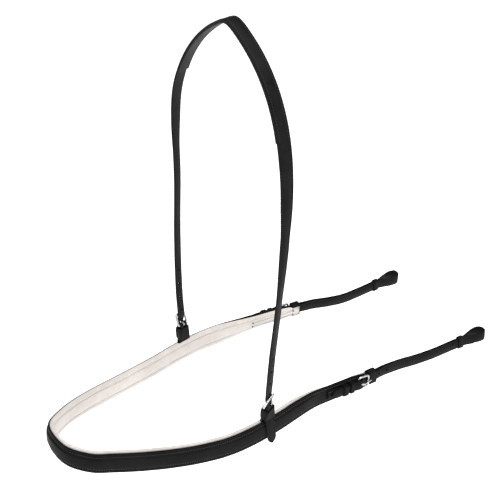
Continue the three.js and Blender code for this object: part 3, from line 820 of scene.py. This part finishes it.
stitch_share = 10.45 / BREAST_WIDTH
stitch_row(
    "breast_strap_stitches",
    rows_on_line(pad_end - 4, lambda s: breast_width(s) * stitch_share, lambda s: FLANGE - 0.1),
    "breast_strap", black_thread, length=2.1, radius=0.5,
)
stitch_row(
    "breast_lining_stitches",
    rows_on_line(lining_reach - 4, lambda s: lining_half(s) * SEAM_SHARE, seam_height, facing=-1),
    "breast_lining", ivory_thread, radius=0.34,
)

# ---- neck strap ----
hanger_high = WIRE + GAP + CHAPE_THICKNESS + GAP + BILLET_THICKNESS / 2
hanger_low = HANGER_RISE - WIRE - GAP - BILLET_THICKNESS / 2
front_leg = -GAP - CHAPE_THICKNESS / 2
rear_leg = front_leg - CHAPE_THICKNESS - GAP
tail_height = RAISED + GAP + BILLET_THICKNESS / 2
billet_top = 74
neck_points = [
    (125, -19, -432), (130, -15, -362), (133, -10, -282), (136, -8, -202), (131, -6, -143),
    (114, -2, -96), (90, 1, -60), (60, 2.4, -31), (28, 1.6, -9),
]
neck_widths = [[-236, BILLET_WIDTH], [-196, 18], [-130, NECK_WIDTH]]
left_turns = [[-460, 22], [-330, 26], [-262, 4], [-30, 2], [0, 4]]
right_turns = [[-460, 22], [-330, 26], [-200, 22], [-60, 14], [0, 4]]


def through_buckle(x, high, low):
    return high + (low - high) * smooth(x / BUCKLE_LENGTH)


def billet_height(h):
    if h > HANGER_BAR:
        return through_buckle(h - HANGER_BAR, hanger_high, hanger_low)
    pairs = [[-24, tail_height - 1], [-10, tail_height], [12, tail_height], [24, 4.7], [44, hanger_high]]
    return read_between(pairs, h)


def tip_width(distance, length=10.5):
    """Share of the full width at a distance from a rounded point's tip."""
    if distance >= length:
        return 1.0
    t = 1 - max(distance, 0) / length
    return max(0.12, (1 - t**1.8) ** 0.7)


def billet_route(side):
    hs = np.concatenate([np.arange(BILLET_TIP, -14, 0.7), np.arange(-14, billet_top + 0.1, 2.0)])
    points, acrosses, widths = [], [], []
    for h in hs:
        point, _, across, _ = hanger_frame(side, h, billet_height(h))
        points.append(point)
        acrosses.append(across * side)
        widths.append(BILLET_WIDTH * tip_width(h - BILLET_TIP))
    return points, acrosses, widths


def neck_spline():
    lead = (billet_top, billet_top + 10, billet_top + 20)

    def half(sign):
        foot = [hanger_frame(sign, h, hanger_low)[0] for h in lead]
        return foot + [np.array([x * sign, y, z]) for x, y, z in neck_points]

    crown = [np.array([0, 0, CROWN_LINING + GAP + NECK_THICKNESS / 2])]
    return Spline(half(1) + crown + half(-1)[::-1], 30)


neck_route = neck_spline()


def neck_run():
    count = math.ceil(neck_route.length / 5)
    points, acrosses, widths = [], [], []
    for i in range(2, count - 1):
        point = neck_route.at(neck_route.length * i / count)
        turn = math.radians(read_between(left_turns if point[0] > 0 else right_turns, point[2]))
        points.append(point)
        acrosses.append(np.array([-math.sin(turn), math.cos(turn), 0]))
        widths.append(read_between(neck_widths, point[2]))
    return points, acrosses, widths


def neck_stations():
    left, run, right = billet_route(1), neck_run(), billet_route(-1)
    points = left[0] + run[0] + right[0][::-1]
    acrosses = left[1] + run[1] + right[1][::-1]
    widths = left[2] + run[2] + right[2][::-1]
    return path_stations(points, acrosses, 3), widths


neck_line, neck_width_list = neck_stations()


def neck_profile(i):
    thickness = BILLET_THICKNESS if neck_line[i][0][2] < -430 else NECK_THICKNESS
    return strap_profile(neck_width_list[i], -thickness / 2, thickness / 2, face=-1)[0]


def nearest_axes(stations, point):
    """Axes on a strap at the place nearest a point: along it, across it and out of it."""
    best = min(range(1, len(stations) - 1), key=lambda i: np.linalg.norm(stations[i][0] - point))
    centre, across, normal = stations[best]
    along = unit(stations[best + 1][0] - stations[best - 1][0])
    return centre + along * along.dot(point - centre), along, across, normal


neck_piece = sweep("neck_strap_leather", neck_line, neck_profile, STRAP_FLAGS)
neck_cutters = []
for side in SIDES.values():
    at_bar = hanger_buckle(side)
    neck_cutters.append((at_bar, *TONGUE_SLOT))
    for step in (-2, -1, 1):
        shift = TONGUE_HOLE - HANGER_BAR + step * HOLE_PITCH
        neck_cutters.append((at_bar, HOLE, shift, (-4, 12)))
    for step in (2, 3, 4):
        target = hanger_frame(side, TONGUE_HOLE + step * HOLE_PITCH, hanger_low)[0]
        neck_cutters.append((nearest_axes(neck_line, target), HOLE, 0, (-4, 4)))
cut(neck_piece, neck_cutters)
stand_for(neck_piece, "neck_strap", [bridle, edge])

crown_reach = -112
crown_line = [s for s in neck_line if s[0][2] > crown_reach]
crown_low = NECK_THICKNESS / 2 + GAP
crown_profile, crown_flags = strap_profile(
    NECK_WIDTH - 0.2, crown_low, crown_low + CROWN_LINING, radius=0.4, crease=0.15
)
crown_piece = sweep("neck_strap_crown_lining", crown_line, lambda i: crown_profile, crown_flags)
stand_for(crown_piece, "neck_strap_lining", [soft_bridle, raw_edge_and_painted_highlight])


def rows_on_path(stations, offsets, height, facing):
    """Stitch spots along a path of stations, evenly spaced."""
    points = np.array([s[0] for s in stations])
    places = np.concatenate([[0], np.cumsum(np.linalg.norm(np.diff(points, axis=0), axis=1))])
    spots = []
    for place in np.arange(3, places[-1] - 3, STITCH_PITCH):
        i = int(np.searchsorted(places, place)) - 1
        share = (place - places[i]) / (places[i + 1] - places[i])
        point = points[i] * (1 - share) + points[i + 1] * share
        _, across, normal = stations[i]
        along = unit(points[i + 1] - points[i])
        for x in offsets:
            spots.append((point + across * x + normal * height, along, normal * facing))
    return spots


crown_stitch = NECK_WIDTH / 2 - 3.2
crown_offsets = [crown_stitch, -crown_stitch]
stitch_row(
    "neck_strap_crown_stitches",
    rows_on_path(crown_line, crown_offsets, -NECK_THICKNESS / 2 - STITCH_PROUD, -1)
    + rows_on_path(crown_line, crown_offsets, crown_low + CROWN_LINING + STITCH_PROUD, 1),
    "neck_strap", dark_thread,
)

# ---- hangers ----
for name, side in SIDES.items():
    fold = WIRE + GAP + CHAPE_THICKNESS / 2
    path = refine(
        [[-4, rear_leg], [17, rear_leg], [30, rear_leg + 0.2], [42, -fold]]
        + arc(HANGER_BAR, 0, fold, -90, 180, 12)
        + [[42, fold], [34, 1.8], [25, 0], [17, front_leg], [-4, front_leg]],
        1.4,
    )
    line = framed_stations([hanger_frame(side, h, n) for h, n in path], 1)
    narrowing = [[38, 1], [43, (BILLET_WIDTH - 0.4) / CHAPE_WIDTH]]
    widths = [CHAPE_WIDTH * read_between(narrowing, h) for h, _ in path]
    thick = CHAPE_THICKNESS / 2
    chape = sweep(
        name + "_hanger_chape_leather", line,
        lambda i: strap_profile(widths[i], -thick, thick, face=-1, radius=0.5, crease=0.18)[0], STRAP_FLAGS,
    )
    cut(chape, [(hanger_buckle(side), *CHAPE_SLOT)])
    stand_for(chape, name + "_hanger_chape", [bridle, edge])


# ---- keepers ----
def ring_outline(half, low, high, radius, corner_steps=4, side_steps=3):
    """A rounded rectangle's points, counter-clockwise."""
    corners = [(half, high, 0), (-half, high, 90), (-half, low, 180), (half, low, 270)]
    points = []
    for x, y, start in corners:
        cx = x - math.copysign(radius, x)
        cy = y - radius if y == high else y + radius
        points += arc(cx, cy, radius, start, 90, corner_steps)
    result = []
    for k, point in enumerate(points):
        result.append(point)
        after = points[(k + 1) % len(points)]
        if (k + 1) % (corner_steps + 1) == 0:
            for j in range(1, side_steps):
                share = j / side_steps
                result.append(tuple(p + (q - p) * share for p, q in zip(point, after)))
    return result


def band(name, node, frame_at, ends, half, low, high, wall):
    """A leather keeper: a band round the straps, its edges eased and a crease beside each."""
    start, stop = min(ends), max(ends)
    ease = 0.4
    inner = ring_outline(half, low, high, 0.7)
    outer = ring_outline(half + wall, low - wall, high + wall, 0.7 + wall)
    inset = 1.3
    across_band = [
        (start, 0.7), (start + 0.1, 0.9), (start + ease, 1), (start + inset - 0.4, 1), (start + inset, 0.86),
        (start + inset + 0.4, 1), ((start + stop) / 2, 1.06), (stop - inset - 0.4, 1), (stop - inset, 0.86),
        (stop - inset + 0.4, 1), (stop - ease, 1), (stop - 0.1, 0.9), (stop, 0.7), (stop, 0.3),
        (stop - ease, 0), ((start + stop) / 2, 0), (start + ease, 0), (start, 0.3),
    ]
    vertices = []
    for place, share in across_band:
        point, _, across, out = frame_at(place)
        for (xi, yi), (xo, yo) in zip(inner, outer):
            vertices.append(point + across * (xi + (xo - xi) * share) + out * (yi + (yo - yi) * share))
    rings = len(across_band)
    edge_rings = (0, 1, *range(rings - 8, rings - 4), rings - 1)
    slots = [int(r in edge_rings) for r in range(rings) for _ in inner]
    piece = make_mesh(name, vertices, ring_faces(len(inner), rings), slots)
    stand_for(piece, node, [bridle, edge])


inner_leg = -GAP - GIRTH_THICKNESS / 2
outer_leg = inner_leg + GIRTH_THICKNESS + GAP
over_leather = FLANGE + GAP + GIRTH_THICKNESS / 2
girth_high = GIRTH_BAR_HEIGHT + WIRE + GAP + GIRTH_CHAPE + GAP + GIRTH_THICKNESS / 2
girth_low = GIRTH_BAR_HEIGHT + GIRTH_RISE - WIRE - GAP - GIRTH_THICKNESS / 2
chape_low = FLANGE + GAP + GIRTH_CHAPE / 2
chape_on_keeper = chape_low + KEEPER_WALL + GAP
tail_on_keeper = chape_on_keeper + 1.5 * GIRTH_CHAPE + 2 * GAP + GIRTH_THICKNESS / 2

for name, side in SIDES.items():
    band(
        name + "_hanger_keeper_leather", name + "_hanger_keeper", lambda h, s=side: hanger_frame(s, h),
        HANGER_KEEPER, CHAPE_WIDTH / 2 + KEEPER_PLAY, rear_leg - CHAPE_THICKNESS / 2 - KEEPER_PLAY,
        HANGER_KEEPER_TOP, HANGER_KEEPER_WALL,
    )
    strip_half = GIRTH_WIDTH / 2 + KEEPER_PLAY
    low = FLANGE + GAP + KEEPER_WALL
    high = tail_on_keeper + GIRTH_THICKNESS / 2 + KEEPER_PLAY
    bottom = inner_leg - GIRTH_THICKNESS / 2 - KEEPER_PLAY
    end_top = over_leather + GIRTH_THICKNESS / 2 + KEEPER_PLAY
    loop_half = GIRTH_REAR_WIDTH / 2 + KEEPER_PLAY
    loop_top = outer_leg + GIRTH_THICKNESS / 2 + KEEPER_PLAY
    start = LOOP_START[side]
    keepers = {
        "fixed_keeper": ((-54, -47), strip_half, low, high),
        "sliding_keeper": ((-67, -58), strip_half, low, high),
        "end_keeper": (END_KEEPER, 9.4, bottom, end_top),
        "loop_keeper": ((start - 12, start - 3), loop_half, bottom, loop_top),
    }
    for kind, (ends, half, under, over) in keepers.items():
        node = f"{name}_{kind}"
        band(node + "_leather", node, lambda x, s=side: arm_frame(s, x), ends, half, under, over, KEEPER_WALL)


# ---- girth straps ----
def girth_path(side):
    start = LOOP_START[side]

    def bend(points):
        curve = Spline([[start + x, n, 0] for x, n in points], 10)
        return [curve.at(s)[:2] for s in np.linspace(0, curve.length, 26)]

    inner = [[0, inner_leg], [7, -3.3], [16, -6.4], [26, -8.6], [34.3, -8], [39, -3.4]]
    outer = [[39, 3.2], [34.3, 7.8], [26, 8.4], [16, 6.2], [7, 3.1], [0, outer_leg]]
    buckled = [
        [GIRTH_BAR + x, through_buckle(x, girth_high, girth_low)] for x in range(BUCKLE_LENGTH, -1, -2)
    ]
    path = [
        *refine([[GIRTH_SEWN_END, inner_leg], [start - 4, inner_leg]], 5), *bend(inner), *bend(outer),
        *refine([[start - 4, outer_leg], [20, outer_leg]], 5),
        [14, outer_leg + 0.2], [8, outer_leg + 1.1], [2, over_leather], [-14, over_leather], *buckled,
        [-40, girth_high - 0.5], [-44, tail_on_keeper + 0.5], [-47, tail_on_keeper],
        [-80, tail_on_keeper - 0.1], [-84, tail_on_keeper - 0.3], [GIRTH_TIP, tail_on_keeper - 0.6],
    ]
    return refine(path, 2.4)


for name, side in SIDES.items():
    path = girth_path(side)
    line = framed_stations([arm_frame(side, x, n) for x, n in path], 2)
    widening = [[2, GIRTH_WIDTH], [14, GIRTH_REAR_WIDTH]]
    widths = [
        GIRTH_WIDTH * tip_width(x - GIRTH_TIP) if n > over_leather + 2 else read_between(widening, x)
        for x, n in path
    ]
    thick = GIRTH_THICKNESS / 2
    girth = sweep(
        name + "_girth_strap_leather", line,
        lambda i: strap_profile(widths[i], -thick, thick, face=-side)[0], STRAP_FLAGS,
    )
    at_bar = girth_buckle(side)
    cutters = [(at_bar, *TONGUE_SLOT)]
    reach = thick + 0.6
    for x, n in ((6, 3), (22, outer_leg), (-62, tail_on_keeper)):
        cutters.append((buckle_axes(arm_frame(side, x, n)), HOLE, 0, (-reach, reach)))
    cut(girth, cutters)
    stand_for(girth, name + "_girth_strap", [bridle, edge])

    fold = WIRE + GAP + GIRTH_CHAPE / 2
    tail_leg = chape_low + GIRTH_CHAPE + GAP
    top_leg = chape_on_keeper + GIRTH_CHAPE + GAP
    chape_path = refine(
        [[-92, chape_low], [-85, chape_low], [-79, chape_on_keeper], [-44, chape_on_keeper],
         [-40, chape_low + 0.6]]
        + arc(GIRTH_BAR, GIRTH_BAR_HEIGHT, fold, -90, 180, 12)
        + [[-40, GIRTH_BAR_HEIGHT + fold - 0.5], [-44, top_leg + 0.5], [-47, top_leg], [-79, top_leg],
           [-85, tail_leg], [-92, tail_leg]],
        1.6,
    )
    line = framed_stations([arm_frame(side, x, n) for x, n in chape_path], 1)
    thin = GIRTH_CHAPE / 2
    chape_profile = strap_profile(GIRTH_WIDTH - 0.4, -thin, thin, face=-side, radius=0.45, crease=0.16)[0]
    chape = sweep(name + "_girth_chape_leather", line, lambda i: chape_profile, STRAP_FLAGS)
    cut(chape, [(at_bar, *CHAPE_SLOT)])
    stand_for(chape, name + "_girth_buckle_chape", [bridle, edge])
    spots = []
    for x in np.arange(-91, -85, 2.8):
        for w in (-5.2, 5.2):
            point, rear, up, out = arm_frame(side, x, tail_leg + thin + STITCH_PROUD)
            spots.append((point + up * w, rear, out))
    stitch_row(
        name + "_girth_chape_stitches", spots, name + "_girth_buckle_chape", black_thread
    )
    tacks, rows = [], []
    for w in (-3.4, 3.4):
        for x in (-91, -16):
            point, _, up, out = arm_frame(side, x, lining_back_height(x) - 0.3)
            tacks.append((point + up * w, up, -out))
        for x in np.arange(-88, -17, STITCH_PITCH):
            point, rear, up, out = arm_frame(side, x, lining_back_height(x) - 0.15)
            rows.append((point + up * w, rear, -out))
    stitch_row(
        name + "_lining_tacks", tacks, "breast_lining", dark_thread,
        length=3.2, radius=1.1, slant=0,
    )
    stitch_row(name + "_lining_rows", rows, "breast_lining", grey_thread, radius=0.42)


# ---- buckles ----
SIDEWAYS = np.array([0.0, 1.0, 0.0])


def buckle_wire(rise, steps=8, around=14):
    """The rings of vertices round the frame's wire, in the buckle's own axes."""
    corner = 3.4
    length = BUCKLE_LENGTH
    centres = [
        (length - corner, BUCKLE_HALF - corner, 0), (corner, BUCKLE_HALF - corner, 90),
        (corner, corner - BUCKLE_HALF, 180), (length - corner, corner - BUCKLE_HALF, 270),
    ]
    path = []
    for cx, cy, start in centres:
        path += arc(cx, cy, corner, start, 90, steps)
    slope = rise / length
    rings = []
    for k, (x, y) in enumerate(path):
        before, after = path[k - 1], path[(k + 1) % len(path)]
        along = unit(np.array([after[0] - before[0], after[1] - before[1], 0]))
        beside = np.cross(along, UP)
        middle = np.array([x, y, x * slope])
        swell = WIRE * (1 + 0.05 * (x / length))
        rings.append([
            middle + (beside * math.cos(a) + UP * math.sin(a)) * swell
            for a in (2 * math.pi * j / around for j in range(around))
        ])
    return rings


def tongue_mesh(rise):
    """The tongue's eye and prong in the buckle's own axes."""
    inner, outer, half = WIRE + 0.15, 3.3, 1.6
    profile = ring_outline(half, inner, outer, 0.45, 3, 2)
    turns = 28
    vertices = []
    for i in range(turns):
        angle = 2 * math.pi * i / turns
        for y, r in profile:
            vertices.append(np.array([r * math.cos(angle), y, r * math.sin(angle)]))
    faces = ring_faces(len(profile), turns)
    length = BUCKLE_LENGTH
    route = Spline([
        [1.3, 0, 2.1], [3.4, 0, 4.9], [6, 0, 6.2 + rise * 0.2], [length / 2, 0, 5.6 + rise * 0.45],
        [length, 0, rise + 2.95], [length + 5, 0, rise + 2.6],
    ], 12)
    steps, size = 40, 14
    base = len(vertices)
    for i in range(steps + 1):
        share = i / steps
        point = route.at(route.length * share)
        after = route.at(route.length * min(share + 0.02, 1))
        ahead = unit(after - route.at(route.length * max(share - 0.02, 0)))
        normal = np.cross(ahead, SIDEWAYS)
        tip = math.sqrt(max(0.04, 1 - max(0, (share - 0.955) / 0.045) ** 2))
        width, height = 1.4 * (1 - 0.45 * share) * tip, 1.05 * (1 - 0.12 * share) * tip
        for k in range(size):
            a = 2 * math.pi * k / size
            cos, sin = math.cos(a), math.sin(a)
            x = math.copysign(abs(cos) ** 0.8, cos) * width
            z = math.copysign(abs(sin) ** 0.8, sin) * height
            vertices.append(point + SIDEWAYS * x + normal * z)
    faces += ring_faces(size, steps + 1, base, closed=False)
    faces.append(tuple(base + k for k in range(size)))
    faces.append(tuple(base + steps * size + k for k in range(size)))
    return vertices, faces


def steel_piece(node, axes, vertices, faces):
    """Makes a steel piece of vertices in a buckle's own axes, in place of a CAD node."""
    origin, x_axis, y_axis, z_axis = axes
    placed = [origin + x_axis * v[0] + y_axis * v[1] + z_axis * v[2] for v in vertices]
    piece = make_mesh(node + "_steel", placed, faces, [0] * len(faces))
    stand_for(piece, node, [steel])


for name, side in SIDES.items():
    buckles = {"hanger": (hanger_buckle(side), HANGER_RISE), "girth": (girth_buckle(side), GIRTH_RISE)}
    for kind, (axes, rise) in buckles.items():
        rings = buckle_wire(rise)
        wire = [v for ring in rings for v in ring]
        steel_piece(f"{name}_{kind}_buckle_frame", axes, wire, ring_faces(len(rings[0]), len(rings)))
        steel_piece(f"{name}_{kind}_buckle_tongue", axes, *tongue_mesh(rise))

# ---- camera, floor and light ----
AZIMUTH, ELEVATION = math.radians(57), math.radians(34)
DISTANCE = 1.7714
TARGET = Vector((-0.036, 0.050, -0.375))
back = Vector((
    math.sin(AZIMUTH) * math.cos(ELEVATION), -math.cos(AZIMUTH) * math.cos(ELEVATION), math.sin(ELEVATION)
))
camera = add_object("camera", bpy.data.cameras.new("camera"))
camera.data.lens = 89.28
camera.data.sensor_width = 36
camera.location = TARGET + back * DISTANCE
camera.rotation_euler = (-back).to_track_quat("-Z", "Y").to_euler()
bpy.context.scene.camera = camera

FLOOR_DROP = 0.35
FLOOR_REACH = 12
floor_height = cad_box[0][2] - FLOOR_DROP
floor_nodes = Nodes("pale_studio_floor")
floor_nodes.colour(
    floor_nodes.ramp(floor_nodes.noise(3, 2), [(0.3, (0.93, 0.93, 0.93)), (0.7, (0.95, 0.95, 0.95))])
)
floor_nodes.set(Roughness=0.9, Specular_IOR_Level=0.1, Emission_Strength=0.72)
floor_nodes.shader.inputs["Emission Color"].default_value = (1, 1, 1, 1)
mesh = bpy.data.meshes.new("studio_floor")
corners = [(x * FLOOR_REACH, y * FLOOR_REACH, floor_height) for x, y in ((-1, -1), (1, -1), (1, 1), (-1, 1))]
mesh.from_pydata(corners, [], [(0, 1, 2, 3)])
mesh.materials.append(floor_nodes.material)
floor = add_object("studio_floor", mesh)

world = bpy.data.worlds.new("studio")
world.use_nodes = True
background = world.node_tree.nodes["Background"].inputs
background["Color"].default_value = (1, 1, 1, 1)
background["Strength"].default_value = 0.24
bpy.context.scene.world = world


def soft_light(name, place_m, size, power):
    light = bpy.data.lights.new(name, "AREA")
    light.shape = "RECTANGLE"
    light.size, light.size_y = size
    light.energy = power
    lamp = add_object(name, light)
    lamp.location = place_m
    lamp.rotation_euler = (TARGET - Vector(place_m)).to_track_quat("-Z", "Y").to_euler()


soft_light("top_softbox", (0.3, 0.2, 1.9), (2.4, 2.4), 72)
soft_light("side_softbox", (2.0, 0.6, 0.5), (1.4, 1.8), 20)
soft_light("front_softbox", (0.2, -2.2, 0.4), (1.6, 1.6), 14)
bpy.context.scene.view_settings.view_transform = "Standard"
